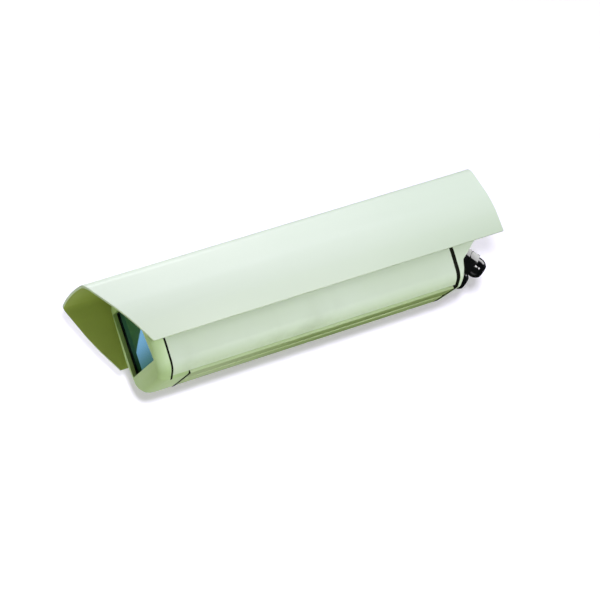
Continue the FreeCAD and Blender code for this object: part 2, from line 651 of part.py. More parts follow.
def rear_cap():
    """Cast cap with a slanted lower face for the glands and recessed bolt seats."""
    blank = Part.makeLoft([body_wire(REAR_CAP_Y), body_wire(REAR_CAP_Y + REAR_BLEND_DEPTH, 0.4),
                           body_wire(REAR_END_Y - 3.5, 2.2), body_wire(REAR_END_Y, 4.5)], True, True)
    sill = REAR_CAP_Y + 3.4
    above, beside = BODY_TOP_Z + 10.5, BODY_HALF_W + 2.5
    side_view = [(REAR_CAP_Y - 1.0, -1.0), (sill, -1.0), (sill + 1.6, 10.0), SLANT_LOW, SLANT_HIGH,
                 (REAR_END_Y + 0.1, SLANT_HIGH[1] + 0.5), (REAR_END_Y + 0.1, above),
                 (REAR_CAP_Y - 1.0, above)]
    solid = blank.common(cross_prism(side_view, -beside, beside))
    dy, dz = SLANT_HIGH[0] - SLANT_LOW[0], SLANT_HIGH[1] - SLANT_LOW[1]
    length = math.hypot(dy, dz)
    ny, nz = -dz / length * CAP_WALL, dy / length * CAP_WALL
    low = (REAR_CAP_Y + 0.8, SLANT_LOW_Z - 3.0)
    inner_view = [(REAR_CAP_Y - 2.0, low[1]), low,
                  (SLANT_LOW[0] + ny, SLANT_LOW[1] + nz), (SLANT_HIGH[0] + ny, SLANT_HIGH[1] + nz),
                  (REAR_END_Y - CAP_WALL, SLANT_HIGH[1] + 2.0), (REAR_END_Y - CAP_WALL, above),
                  (REAR_CAP_Y - 2.0, above)]
    hollow = body_block(REAR_CAP_Y - 1.0, REAR_END_Y, CAP_WALL + 1.5)
    solid = solid.cut(hollow.common(cross_prism(inner_view, -beside, beside)))
    cuts = []
    for side in (-1, 1):
        x, z = side * LOW_BOLT[0], LOW_BOLT[1]
        cuts.append(along(x, z, REAR_CAP_Y - 1.0, REAR_END_Y, 2.3))
        cuts.append(along(x, z, REAR_CAP_Y + 2.4, REAR_END_Y, 4.1))
        x, z = side * HIGH_BOLT[0], HIGH_BOLT[1]
        cuts.append(along(x, z, REAR_CAP_Y - 1.0, REAR_END_Y + 1.0, 2.3))
        cuts.append(along(x, z, REAR_END_Y - 2.0, REAR_END_Y + 1.0, 4.1))
    for index in range(2):
        cuts.append(on_slant(upright(0, 0, -CAP_WALL - 6.0, 5.0, GLAND_THREAD_R + FIT), index))
    return solid.cut(cuts + shield_fix_holes()).removeSplitter()


def tie_bolts():
    """Four long bolts drawing both caps onto the cover."""
    tip = FACE_Y + 6.5
    bolts = []
    for side in (-1, 1):
        for place, seat in ((LOW_BOLT, REAR_CAP_Y + 2.4), (HIGH_BOLT, REAR_END_Y - 2.0)):
            x, z = side * place[0], place[1]
            solid = along(x, z, tip, seat, 1.9).fuse(along(x, z, seat, seat + 1.9, 3.7))
            slot = box(x - 4.0, x + 4.0, seat + 1.0, seat + 2.5, z - 0.5, z + 0.5)
            bolts.append(solid.removeSplitter().cut(slot))
    return Part.makeCompound(bolts)


# Sunshield and its fixings

def shield_corners():
    slope = math.atan2(SHIELD_SHOULDER_DROP, SHIELD_SHOULDER_X)
    crown = SHIELD_CROWN_Z + SHIELD_CROWN_R * (1.0 / math.cos(slope) - 1.0)
    shoulder = (SHIELD_SHOULDER_X, crown - SHIELD_SHOULDER_DROP)
    right = [(SHIELD_HALF_W, SHIELD_EDGE_Z - 8.0), (SHIELD_HALF_W, SHIELD_WING_Z), shoulder]
    left = [(-x, z) for x, z in reversed(right)]
    return right + [(0.0, crown)] + left


def sunshield():
    """Bent sheet: crowned roof, soft shoulders, flared wings, raked front edge."""
    side = [0.5, SHIELD_WING_R, SHIELD_SHOULDER_R]
    radii = side + [SHIELD_CROWN_R] + side[::-1]
    y0, y1 = SHIELD_FRONT_Y - 60.0, SHIELD_REAR_Y
    sheet = prism(rounded_wire(shield_corners(), radii, y0), y1 - y0)
    sheet = sheet.cut(prism(rounded_wire(shield_corners(), radii, y0 - 1.0, SHIELD_T), y1 - y0 + 2.0))
    sheet = sheet.cut(box(-90.0, 90.0, y0 - 1.0, y1 + 1.0, SHIELD_EDGE_Z - 20.0, SHIELD_EDGE_Z))
    rake = math.tan(math.radians(SHIELD_RAKE))
    top = SHIELD_FRONT_Y - (140.0 - SHIELD_EDGE_Z) * rake
    low = SHIELD_FRONT_Y + 20.0 * rake
    front = cross_prism([(y0 - 5.0, 150.0), (y0 - 5.0, SHIELD_EDGE_Z - 20.0),
                         (low, SHIELD_EDGE_Z - 20.0), (top, 140.0), (top, 150.0)], -90.0, 90.0)
    sheet = sheet.cut(front).removeSplitter()
    half = [(0.0, -5.0), (2.7, -5.0), (2.7, -2.7), (6.4, 1.0), (0.0, 1.0), (0.0, -5.0)]
    outline = Part.makePolygon([vec(x, 0, SHIELD_CROWN_Z + z) for x, z in half])
    sink = Part.Face(outline).revolve(vec(0, 0, 0), vec(0, 0, 1), 360)
    for y in SHIELD_FIX_Y:
        sheet = sheet.cut(sink.translated(vec(0, y, 0)))
    return sheet


def sunshield_screws():
    screws = []
    for y in SHIELD_FIX_Y:
        head = Part.makeCone(SHIELD_SCREW_R, 5.0, 2.5, vec(0, y, SHIELD_CROWN_Z - 2.6), vec(0, 0, 1))
        shank = upright(0, y, BODY_TOP_Z - SHIELD_SCREW_DEPTH, SHIELD_CROWN_Z - 2.6, SHIELD_SCREW_R)
        socket = hexagon(3.0, 1.5)
        socket.translate(vec(0, y, SHIELD_CROWN_Z - 1.6))
        screws.append(head.fuse(shank).removeSplitter().cut(socket))
    return Part.makeCompound(screws)


SPACER_TOP = SHIELD_CROWN_Z - SHIELD_T - 1.2


def sunshield_spacers():
    tubes = []
    for y in SHIELD_FIX_Y:
        tube = upright(0, y, BODY_TOP_Z, SPACER_TOP, SPACER_R)
        tubes.append(tube.cut(upright(0, y, BODY_TOP_Z - 1.0, SPACER_TOP + 1.0, 2.7)))
    return Part.makeCompound(tubes)


def sunshield_washers():
    washers = []
    for y in SHIELD_FIX_Y:
        disc = upright(0, y, SPACER_TOP, SPACER_TOP + 1.0, SHIELD_WASHER_R)
        washers.append(disc.cut(upright(0, y, SPACER_TOP - 1.0, SPACER_TOP + 2.0, 2.7)))
    return Part.makeCompound(washers)


# Cable glands on the slanted face; their own Z points out of the wall

def on_slant(shape, index):
    dy, dz = SLANT_HIGH[0] - SLANT_LOW[0], SLANT_HIGH[1] - SLANT_LOW[1]
    out_angle = math.degrees(math.atan2(dy, dz))
    turned = shape.copy()
    turned.rotate(vec(0, 0, 0), vec(1, 0, 0), -(90.0 + out_angle))
    length = math.hypot(dy, dz)
    middle_y = (SLANT_LOW[0] + SLANT_HIGH[0]) / 2 - GLAND_DROP * dy / length
    middle_z = (SLANT_LOW[1] + SLANT_HIGH[1]) / 2 - GLAND_DROP * dz / length
    turned.translate(vec(GLAND_PITCH * (0.5 - index), middle_y, middle_z))
    return turned


def gland_washer():
    return upright(0, 0, 0.0, WASHER_T, 12.6).cut(upright(0, 0, -1.0, 3.0, GLAND_THREAD_R + FIT))


def gland_body():
    """Flanged hexagon with a threaded spigot through the wall and a clamping barrel outside."""
    flange = hexagon(GLAND_AF, FLANGE_T)
    flange.translate(vec(0, 0, WASHER_T))
    top = WASHER_T + FLANGE_T
    trim = Part.makeCone(15.0, 12.0, 3.0, vec(0, 0, top - 1.3), vec(0, 0, 1))
    flange = flange.common(upright(0, 0, 0.0, top - 1.3, 15.0).fuse(trim))
    spigot = upright(0, 0, -GLAND_SPIGOT_H, WASHER_T, GLAND_THREAD_R)
    barrel = upright(0, 0, top, top + GLAND_BARREL_H, GLAND_BARREL_R)
    solid = flange.fuse([spigot, barrel])
    bores = [upright(0, 0, -GLAND_SPIGOT_H - 1.0, top + 1.0, GLAND_BORE_R + 1.0),
             upright(0, 0, top, top + GLAND_BARREL_H + 1.0, GLAND_BARREL_R - 2.2)]
    return solid.cut(bores).removeSplitter()


def gland_insert():
    z0 = WASHER_T + FLANGE_T + 0.2
    radius = GLAND_BARREL_R - 2.5
    bend = z0 + GLAND_BARREL_H + 3.9
    crown = Part.makeCone(radius, radius - 0.7, 1.4, vec(0, 0, bend), vec(0, 0, 1))
    sleeve = upright(0, 0, z0, bend, radius).fuse(crown).removeSplitter()
    return sleeve.cut(upright(0, 0, 0.0, NUT_H * 2, GLAND_BORE_R))


def gland_locknut():
    nut = hexagon(GLAND_AF, LOCKNUT_T)
    nut.translate(vec(0, 0, -CAP_WALL - LOCKNUT_T))
    return nut.cut(upright(0, 0, -GLAND_SPIGOT_H - 8.0, 0.0, GLAND_THREAD_R + FIT))


def gland_nut():
    """Domed clamping nut: hexagon skirt, rounded crown and cable mouth."""
    z0 = WASHER_T + FLANGE_T + 0.4
    top = z0 + NUT_H
    skirt = hexagon(GLAND_AF, 10.5)
    skirt.translate(vec(0, 0, z0))
    chamfer = Part.makeCone(12.2, 15.2, 3.0, vec(0, 0, z0), vec(0, 0, 1))
    skirt = skirt.common(chamfer.fuse(upright(0, 0, z0 + 3.0, z0 + 20.0, 15.2)))
    start = vec(0, 0, z0 + 1.0)
    rim = vec(11.95, 0, z0 + 1.0)
    bend = vec(11.95, 0, top - 9.3)
    lines = [Part.makeLine(start, rim), Part.makeLine(rim, bend),
             Part.Arc(bend, vec(10.6, 0, top - 3.6), vec(7.6, 0, top)).toShape(),
             Part.makeLine(vec(7.6, 0, top), vec(0, 0, top)), Part.makeLine(vec(0, 0, top), start)]
    dome = Part.Face(Part.Wire(lines)).revolve(vec(0, 0, 0), vec(0, 0, 1), 360)
    mouth = upright(0, 0, z0 + 13.0, top + 1.0, GLAND_BORE_R + 1.0)
    mouth = mouth.fuse(Part.makeCone(GLAND_BORE_R + 1.0, 7.2, 1.6, vec(0, 0, top - 1.5), vec(0, 0, 1)))
    bores = [upright(0, 0, z0 - 1.0, z0 + 9.4, 9.7),
             Part.makeCone(9.7, 7.3, 4.8, vec(0, 0, z0 + 9.4), vec(0, 0, 1)), mouth]
    return skirt.fuse(dome).cut(bores).removeSplitter()


def main():
    os.makedirs("parts", exist_ok=True)
    export(base_tray(), "base_tray")
    export(base_seal(), "base_seal")
    for index, y in enumerate(CLOSE_Y):
        export(closing_screw(y), "closing_screw_" + str(index + 1))
    single = [camera_slide, camera_pad, camera_knob, heater_block, heater_switch, terminal_board,
              board_standoffs, board_screws, terminal_block, ground_screw, ground_washer, cover,
              front_cap, rear_cap, front_seal, rear_seal, window_glass, window_seal, glass_retainer,
              retainer_screws, tie_bolts, sunshield, sunshield_screws, sunshield_washers,
              sunshield_spacers]
    for make in single:
        export(make(), make.__name__)
    for make in (gland_washer, gland_body, gland_insert, gland_locknut, gland_nut):
        for index in range(2):
            export(on_slant(make(), index), make.__name__ + "_" + str(index + 1))


main()
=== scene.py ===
import json
import math
import bpy
from mathutils import Matrix, Vector

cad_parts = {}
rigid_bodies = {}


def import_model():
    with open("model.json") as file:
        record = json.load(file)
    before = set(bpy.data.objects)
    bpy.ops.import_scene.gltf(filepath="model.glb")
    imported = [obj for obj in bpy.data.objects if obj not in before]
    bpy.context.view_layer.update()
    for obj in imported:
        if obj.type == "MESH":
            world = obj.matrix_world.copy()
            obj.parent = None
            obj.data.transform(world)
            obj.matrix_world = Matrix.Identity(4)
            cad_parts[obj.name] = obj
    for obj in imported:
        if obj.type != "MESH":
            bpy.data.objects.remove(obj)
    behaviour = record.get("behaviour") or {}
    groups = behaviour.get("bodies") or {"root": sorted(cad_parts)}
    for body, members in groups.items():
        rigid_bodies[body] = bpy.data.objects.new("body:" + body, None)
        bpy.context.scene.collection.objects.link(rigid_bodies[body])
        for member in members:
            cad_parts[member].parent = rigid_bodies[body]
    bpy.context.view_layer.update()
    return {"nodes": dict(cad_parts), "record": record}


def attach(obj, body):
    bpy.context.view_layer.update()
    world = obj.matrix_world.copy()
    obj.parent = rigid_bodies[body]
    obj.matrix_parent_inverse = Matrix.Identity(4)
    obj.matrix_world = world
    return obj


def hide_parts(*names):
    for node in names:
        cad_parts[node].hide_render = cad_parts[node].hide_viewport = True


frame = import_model()
nodes = frame["nodes"]
body_of = {node: body for body, members in frame["record"]["behaviour"]["bodies"].items()
           for node in members}


# Nodes, and shader maths written as expressions on their outputs

NOISE_ROUGHNESS = 0.55


class Wire:
    """One output of a node tree; arithmetic on it adds Math nodes."""

    def __init__(self, tree, output):
        self.tree = tree
        self.output = output

    def _maths(self, operation, first, second):
        node = add_node(self.tree, "ShaderNodeMath", {"operation": operation},
                        {0: first, 1: second})
        return Wire(self.tree, node.outputs[0])

    def __add__(self, other):
        return self._maths("ADD", self, other)

    def __radd__(self, other):
        return self._maths("ADD", other, self)

    def __sub__(self, other):
        return self._maths("SUBTRACT", self, other)

    def __rsub__(self, other):
        return self._maths("SUBTRACT", other, self)

    def __mul__(self, other):
        return self._maths("MULTIPLY", self, other)

    def __rmul__(self, other):
        return self._maths("MULTIPLY", other, self)


def plug(tree, socket, value):
    """Links an output to the socket, or sets the socket's own value."""
    if isinstance(value, Wire):
        value = value.output
    if isinstance(value, bpy.types.NodeSocket):
        tree.links.new(value, socket)
    else:
        socket.default_value = value


def add_node(tree, kind, settings=None, values=None):
    """One node: its settings first, then the values or links of its sockets."""
    node = tree.nodes.new(kind)
    for key, value in (settings or {}).items():
        setattr(node, key, value)
    for key, value in (values or {}).items():
        plug(tree, node.inputs[key], value)
    return node


def span(tree, value, source, target, smooth=False):
    """The value carried from one range to another and held at its ends."""
    settings = {"interpolation_type": "SMOOTHSTEP" if smooth else "LINEAR"}
    sockets = dict(enumerate((value, *source, *target)))
    return add_node(tree, "ShaderNodeMapRange", settings, sockets).outputs[0]


def colour_mix(tree, factor, first, second):
    """Mix node for colours, which sit at its sockets 6 and 7, with the result at output 2."""
    node = add_node(tree, "ShaderNodeMix", {"data_type": "RGBA"},
                    {0: factor, 6: first, 7: second})
    return node.outputs[2]


def choice(tree, factor, first, second):
    """The first shader where the factor is 0 and the second where it is 1."""
    node = add_node(tree, "ShaderNodeMixShader", values={0: factor, 1: first, 2: second})
    return node.outputs[0]


class Finish:
    """A material built around one Principled shader."""

    def __init__(self, name):
        self.material = bpy.data.materials.new(name)
        self.material.use_nodes = True
        self.tree = self.material.node_tree
        self.tree.nodes.clear()
        self.out = self.tree.nodes.new("ShaderNodeOutputMaterial")
        self.shader = self.tree.nodes.new("ShaderNodeBsdfPrincipled")
        self.tree.links.new(self.shader.outputs[0], self.out.inputs[0])
        self.place = self.node("ShaderNodeTexCoord").outputs["Object"]

    def node(self, kind, settings=None, values=None):
        return add_node(self.tree, kind, settings, values)

    def wire(self, output):
        return Wire(self.tree, output)

    def axes(self):
        """The place's x, y and z, in metres."""
        split = self.node("ShaderNodeSeparateXYZ", values={0: self.place})
        return [self.wire(output) for output in split.outputs]

    def noise(self, scale, detail=3.0, stretch=None):
        where = self.place
        if stretch:
            mapping = self.node("ShaderNodeMapping", values={"Vector": where, "Scale": stretch})
            where = mapping.outputs[0]
        node = self.node("ShaderNodeTexNoise", values={
            "Vector": where, "Scale": scale, "Detail": detail, "Roughness": NOISE_ROUGHNESS})
        return self.wire(node.outputs[0])

    def between(self, value, low, high):
        """0 below low, 1 above high, smooth in between."""
        return self.wire(span(self.tree, value, (low, high), (0.0, 1.0), smooth=True))

    def mix(self, factor, first, second):
        return self.wire(colour_mix(self.tree, factor, first, second))

    def bump(self, height, distance):
        node = self.node("ShaderNodeBump", values={
            "Height": height, "Distance": distance, "Strength": 1.0})
        self.set(Normal=self.wire(node.outputs[0]))

    def set(self, **values):
        for key, value in values.items():
            plug(self.tree, self.shader.inputs[key.replace("_", " ")], value)


def tone(red, green, blue):
    """A colour written as it looks on a screen, 0 to 255."""
    parts = []
    for value in (red, green, blue):
        share = value / 255.0
        parts.append(share / 12.92 if share <= 0.04045 else ((share + 0.055) / 1.055) ** 2.4)
    return (*parts, 1.0)


def shaded(colour, share, lift=0.0):
    """The colour times a share, plus a lift."""
    return (*(min(1.0, part * share + lift) for part in colour[:3]), 1.0)


# Finishes of the pieces: ranges over the object and bump distances are in metres

def powder_coat(name, light, deep, roughness=0.42):
    """Fine-grained paint: slight orange peel, soft tone changes, dust streaks, and painted shade
    that darkens it towards the lower edges.
    """
    dust_and_shade_top, dust_and_shade_share, dust_and_shade_tone, relief = 0.030, 0.35, 0.62, 0.00006
    finish = Finish(name)
    cloud = finish.between(finish.noise(scale=9.0, detail=4.0), 0.3, 0.7)
    grain = finish.noise(scale=1500.0, detail=2.0)
    peel = finish.noise(scale=420.0, detail=2.0)
    streak = finish.noise(scale=30.0, detail=4.0, stretch=(1.0, 0.5, 0.06))
    # foot: painted shade, darker towards the lower edge; it also weights where the dust streaks
    # lie
    foot = 1.0 - finish.between(finish.axes()[2], 0.0, dust_and_shade_top)
    dust_and_shade = finish.between(streak, 0.52, 0.75) * (0.25 + 0.75 * foot) * dust_and_shade_share
    # the foot share here is painted shade at the lower edge
    coat = finish.mix(cloud * 0.5 + foot * 0.2, light, deep)
    finish.set(Base_Color=finish.mix(dust_and_shade, coat, shaded(deep, dust_and_shade_tone)),
               Roughness=roughness + grain * 0.10 + dust_and_shade * 0.4, IOR=1.45)
    finish.bump(grain + peel * 0.8, relief)
    return finish.material


def moulded_sheet(name, light, deep, roughness=0.38):
    """Satin moulded sheet: faint ripple, long wipe marks, and painted shade that deepens it to the
    rear and the lower edge.
    """
    painted_shade_rear_range, painted_shade_edge_range, relief = (-0.16, 0.22), (0.038, 0.075), 0.00004
    finish = Finish(name)
    _, y, z = finish.axes()
    cloud = finish.between(finish.noise(scale=5.0), 0.3, 0.7)
    wipe = finish.noise(scale=26.0, detail=4.0, stretch=(1.0, 0.08, 1.0))
    grain = finish.noise(scale=1100.0, detail=2.0)
    ripple = finish.noise(scale=60.0, detail=2.0)
    # painted shade: darker towards the rear and towards the lower edge
    rear = finish.between(y, *painted_shade_rear_range)
    edge = 1.0 - finish.between(z, *painted_shade_edge_range)
    coat = finish.mix(rear * 0.55 + edge * 0.25 + cloud * 0.2, light, deep)
    film = finish.between(wipe, 0.5, 0.8) * 0.12
    finish.set(Base_Color=finish.mix(film, coat, shaded(deep, 0.8)),
               Roughness=roughness + wipe * 0.12, IOR=1.47)
    finish.bump(grain + ripple * 3.0, relief)
    return finish.material


def soft_rubber(name, colour, roughness=0.62):
    """Dark rubber with a paler bloom in patches."""
    relief = 0.00008
    finish = Finish(name)
    grain = finish.noise(scale=1800.0)
    bloom = finish.between(finish.noise(scale=120.0, detail=4.0), 0.45, 0.75)
    finish.set(Base_Color=finish.mix(bloom * 0.5, colour, shaded(colour, 1.8, 0.01)),
               Roughness=roughness + bloom * 0.15, Specular_IOR_Level=0.12)
    finish.bump(grain, relief)
    return finish.material


def glossy_polymer(name, colour, roughness):
    """Smooth moulding with a faint flow pattern and light scuffs."""
    relief = 0.00003
    finish = Finish(name)
    flow = finish.noise(scale=70.0)
    marks = finish.noise(scale=300.0, detail=4.0, stretch=(1.0, 1.0, 0.2))
    scuff = finish.between(marks, 0.6, 0.8)
    finish.set(Base_Color=finish.mix(scuff * 0.4, colour, shaded(colour, 1.8, 0.004)),
               Roughness=roughness + flow * 0.06 + scuff * 0.15)
    finish.bump(finish.noise(scale=260.0, detail=2.0), relief)
    return finish.material


def bare_metal(name, colour, roughness=0.3, brush=(1.0, 1.0, 12.0)):
    """Machined or rolled metal: fine brush lines and dull stains."""
    relief = 0.00003
    finish = Finish(name)
    lines = finish.noise(scale=500.0, stretch=brush)
    stain = finish.between(finish.noise(scale=90.0, detail=4.0), 0.5, 0.8)
    finish.set(Base_Color=finish.mix(stain * 0.5, colour, shaded(colour, 0.7)), Metallic=1.0,
               Roughness=roughness + lines * 0.15 + stain * 0.15)
    finish.bump(lines, relief)
    return finish.material


def tinted_pane(name):
    """Sun-control pane: a blue mirror-like film with faint smears, and a painted reflection that
    turns it deep teal towards its foot.
    """
    painted_reflection_range = (0.023, 0.058)
    finish = Finish(name)
    smear = finish.between(finish.noise(scale=60.0, detail=4.0, stretch=(1.0, 1.0, 0.3)),
                           0.5, 0.85)
    speck = finish.between(finish.noise(scale=900.0, detail=2.0), 0.68, 0.74)
    blue = finish.mix(smear * 0.3 + speck * 0.3, tone(125, 170, 218), tone(135, 176, 218))
    # painted reflection: the dark teal at the foot stands for the shaded recess and lining
    # mirrored in the pane
    above = finish.between(finish.axes()[2], *painted_reflection_range)
    finish.set(Base_Color=finish.mix(above, tone(16, 58, 34), blue), Metallic=0.92,
               Roughness=0.03 + smear * 0.05 + speck * 0.2,
               Specular_Tint=(0.55, 0.84, 0.88, 1.0), Specular_IOR_Level=0.6)
    return finish.material


def circuit_board(name):
    """Green solder mask with paler copper runs under it."""
    relief = 0.00005
    finish = Finish(name)
    wave = finish.node("ShaderNodeTexWave",
                       {"wave_type": "BANDS", "bands_direction": "X", "wave_profile": "SAW"},
                       {"Vector": finish.place, "Scale": 90.0, "Distortion": 1.5, "Detail": 1.0})
    track = finish.between(finish.wire(wave.outputs[1]), 0.55, 0.62)
    finish.set(Base_Color=finish.mix(track * 0.6, tone(24, 92, 48), tone(48, 122, 66)),
               Roughness=0.35 + finish.noise(scale=300.0) * 0.15)
    finish.bump(track, relief)
    return finish.material


SHELL = powder_coat("shell_paint", tone(227, 238, 238), tone(218, 231, 224))
# Deeper olive than the shell paint: painted shade for the shaded face of the window end
CAP_WITH_PAINTED_SHADE = powder_coat("cap_paint_painted_shade", tone(206, 228, 194), tone(192, 214, 172), 0.4)
# Darker and more olive than the shell: partly the tray's own paint, partly painted shade for the
# underside
TRAY_WITH_PAINTED_SHADE = powder_coat("tray_paint_painted_shade", tone(192, 208, 176), tone(178, 196, 154), 0.46)
# Darker green for the window recess walls: painted shade
RECESS_PAINTED_SHADE = powder_coat("recess_painted_shade", tone(168, 192, 128), tone(150, 176, 108), 0.55)
SHEET = moulded_sheet("shield_sheet", tone(220, 229, 227), tone(207, 220, 213))
# Olive inner face of the pale shield sheet: painted shade
LINING_PAINTED_SHADE = moulded_sheet("shield_lining_painted_shade", tone(190, 200, 122), tone(174, 186, 104), 0.55)
RUBBER = soft_rubber("seal_rubber", tone(14, 16, 8))
PAD = soft_rubber("pad_rubber", tone(44, 44, 42), 0.7)
GLAND = glossy_polymer("gland_polymer", tone(7, 9, 12), 0.08)
CLAMP = glossy_polymer("terminal_polymer", tone(34, 120, 62), 0.3)
SWITCH = glossy_polymer("switch_polymer", tone(48, 38, 34), 0.35)
SPACER = glossy_polymer("spacer_polymer", tone(206, 210, 200), 0.35)
STEEL = bare_metal("screw_steel", tone(190, 191, 192))
ZINC = bare_metal("zinc_plate", tone(186, 184, 176), 0.38, (6.0, 1.0, 6.0))
ALLOY = bare_metal("milled_alloy", tone(204, 206, 207), 0.36, (1.0, 12.0, 1.0))
BRASS = bare_metal("turned_brass", tone(206, 176, 104), 0.26)
RELAY = glossy_polymer("relay_case", tone(58, 96, 138), 0.3)
SLEEVE = glossy_polymer("capacitor_sleeve", tone(36, 42, 58), 0.3)
PANE = tinted_pane("window_pane")
BOARD = circuit_board("board_mask")

COATS = {
    "base_tray": TRAY_WITH_PAINTED_SHADE, "base_seal": RUBBER, "closing_screw_1": STEEL, "closing_screw_2": STEEL,
    "closing_screw_3": STEEL, "camera_slide": ALLOY, "camera_pad": PAD, "camera_knob": STEEL,
    "heater_block": ALLOY, "heater_switch": SWITCH, "terminal_board": BOARD,
    "board_standoffs": BRASS, "board_screws": STEEL, "terminal_block": CLAMP,
    "ground_screw": BRASS, "ground_washer": ZINC, "cover": SHELL, "front_cap": CAP_WITH_PAINTED_SHADE,
    "rear_cap": SHELL, "front_seal": RUBBER, "rear_seal": RUBBER, "window_glass": PANE,
    "window_seal": RUBBER, "glass_retainer": ZINC, "retainer_screws": STEEL, "tie_bolts": STEEL,
    "sunshield": SHEET, "sunshield_screws": STEEL, "sunshield_washers": RUBBER,
    "sunshield_spacers": SPACER, "gland_washer_1": RUBBER, "gland_washer_2": RUBBER,
    "gland_body_1": GLAND, "gland_body_2": GLAND, "gland_insert_1": RUBBER,
    "gland_insert_2": RUBBER, "gland_locknut_1": GLAND, "gland_locknut_2": GLAND,
    "gland_nut_1": GLAND, "gland_nut_2": GLAND,
}
for name, material in COATS.items():
    for slot in nodes[name].material_slots:
        slot.material = material


# Modelling steps: operators on faces and edges that are chosen by their place.
# Lengths are in millimetres unless a name or comment says otherwise.

PER_METRE = 1000.0
MERGE_METRES = 0.00001
FLAT_DEGREES = 0.6       # faces that meet at less than this are joined into one
SHARP_DEGREES = 32.0     # edges sharper than this are rounded
SIDEWAYS = 0.5           # a normal's part along an axis, below which a face looks sideways
FACING = 0.9             # and above which it faces along the axis


def mm(*values):
    return tuple(value / PER_METRE for value in values)


def only(piece):
    """This piece alone selected and active."""
    bpy.ops.object.select_all(action="DESELECT")
    piece.select_set(True)
    bpy.context.view_layer.objects.active = piece


def named(name):
    """The object that was just added, with its name."""
    piece = bpy.context.object
    piece.name = name
    piece.data.name = name
    return piece


def edit_all(piece):
    """Edit mode with the whole mesh selected."""
    only(piece)
    bpy.ops.object.mode_set(mode="EDIT")
    bpy.ops.mesh.select_all(action="SELECT")


def leave_edit():
    bpy.ops.object.mode_set(mode="OBJECT")


def pick(piece, kind, test):
    """Edit mode with the vertices, edges or faces selected that pass the test.

    The test takes a vertex's place, the two ends of an edge, or a face's middle and normal.
    """
    bpy.ops.object.mode_set(mode="EDIT")
    bpy.ops.mesh.select_mode(type=kind)
    bpy.ops.mesh.select_all(action="DESELECT")
    bpy.ops.object.mode_set(mode="OBJECT")
    mesh = piece.data
    if kind == "VERT":
        for item in mesh.vertices:
            item.select = test(item.co * PER_METRE)
    elif kind == "EDGE":
        for item in mesh.edges:
            item.select = test(*(mesh.vertices[i].co * PER_METRE for i in item.vertices))
    else:
        for item in mesh.polygons:
            item.select = test(item.center * PER_METRE, item.normal)
    bpy.ops.object.mode_set(mode="EDIT")


def move(x, y, z):
    bpy.ops.transform.translate(value=mm(x, y, z))


def extrude(x, y, z):
    bpy.ops.mesh.extrude_region_move(TRANSFORM_OT_translate={"value": mm(x, y, z)})


def apply_modifier(piece, kind, **settings):
    modifier = piece.modifiers.new("step", kind)
    for key, value in settings.items():
        setattr(modifier, key, value)
    only(piece)
    bpy.ops.object.modifier_apply(modifier=modifier.name)


def soften(piece, width, segments=3, angle=SHARP_DEGREES):
    """Rounds the sharp edges and smooths what is left below the same angle."""
    apply_modifier(piece, "BEVEL", width=width / PER_METRE, segments=segments,
                   limit_method="ANGLE", angle_limit=math.radians(angle), use_clamp_overlap=True)
    bpy.ops.object.shade_smooth_by_angle(angle=math.radians(angle))


def combine(piece, tool, operation="DIFFERENCE"):
    """Cuts the tool out of the piece, or joins it on, and removes the tool."""
    apply_modifier(piece, "BOOLEAN", operation=operation, solver="EXACT", object=tool)
    bpy.data.objects.remove(tool)


def settle(piece):
    """Puts the piece's place and turn into its mesh."""
    only(piece)
    bpy.ops.object.transform_apply(location=True, rotation=True, scale=True)


def stand_for(piece, node):
    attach(piece, body_of[node])
    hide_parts(node)


def belongs(piece, node, material):
    piece.data.materials.append(material)
    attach(piece, body_of[node])


# Solids in their own shape with softer edges

EDGE_WIDTHS = {
    "cover": 0.45, "front_cap": 0.7, "rear_cap": 0.8, "base_tray": 0.35, "window_seal": 0.25,
    "glass_retainer": 0.25, "heater_block": 0.25, "camera_slide": 0.3, "camera_pad": 0.3,
    "camera_knob": 0.35, "terminal_block": 0.25, "gland_body_1": 0.5, "gland_body_2": 0.5,
    "gland_nut_1": 0.5, "gland_nut_2": 0.5, "gland_insert_1": 0.4, "gland_insert_2": 0.4,
    "gland_washer_1": 0.3, "gland_washer_2": 0.3, "gland_locknut_1": 0.4,
    "gland_locknut_2": 0.4, "closing_screw_1": 0.25, "closing_screw_2": 0.25,
    "closing_screw_3": 0.25, "sunshield_screws": 0.2, "tie_bolts": 0.25,
}
SEAL_EDGE_WIDTH = 0.1
SEAL_SWELLS = {"base_seal": 0.6, "front_seal": 0.3, "rear_seal": 0.4}
STRIP_REAR_Y = -163.0    # the base seal's cross strip lies in front of this and
STRIP_SWELL = 0.5        # stands out by this much more
SEAL_FOOT_Z = -0.15      # no seal reaches below this
RECESS_Y = (-203.6, -199.0)
RECESS_HALF_WIDTH = 45.5
RECESS_Z = (23.0, 97.0)


def dressed(node, width):
    """The solid's own shape with doubles merged, flats joined and sharp edges rounded."""
    piece = bpy.data.objects.new(node + "_dressed", nodes[node].data.copy())
    bpy.context.scene.collection.objects.link(piece)
    only(piece)
    if piece.data.has_custom_normals:
        bpy.ops.mesh.customdata_custom_splitnormals_clear()
    edit_all(piece)
    bpy.ops.mesh.remove_doubles(threshold=MERGE_METRES)
    bpy.ops.mesh.dissolve_limited(angle_limit=math.radians(FLAT_DEGREES))
    bpy.ops.mesh.normals_make_consistent(inside=False)
    leave_edit()
    soften(piece, width)
    stand_for(piece, node)
    piece.data.materials.clear()
    piece.data.materials.append(COATS[node])
    return piece


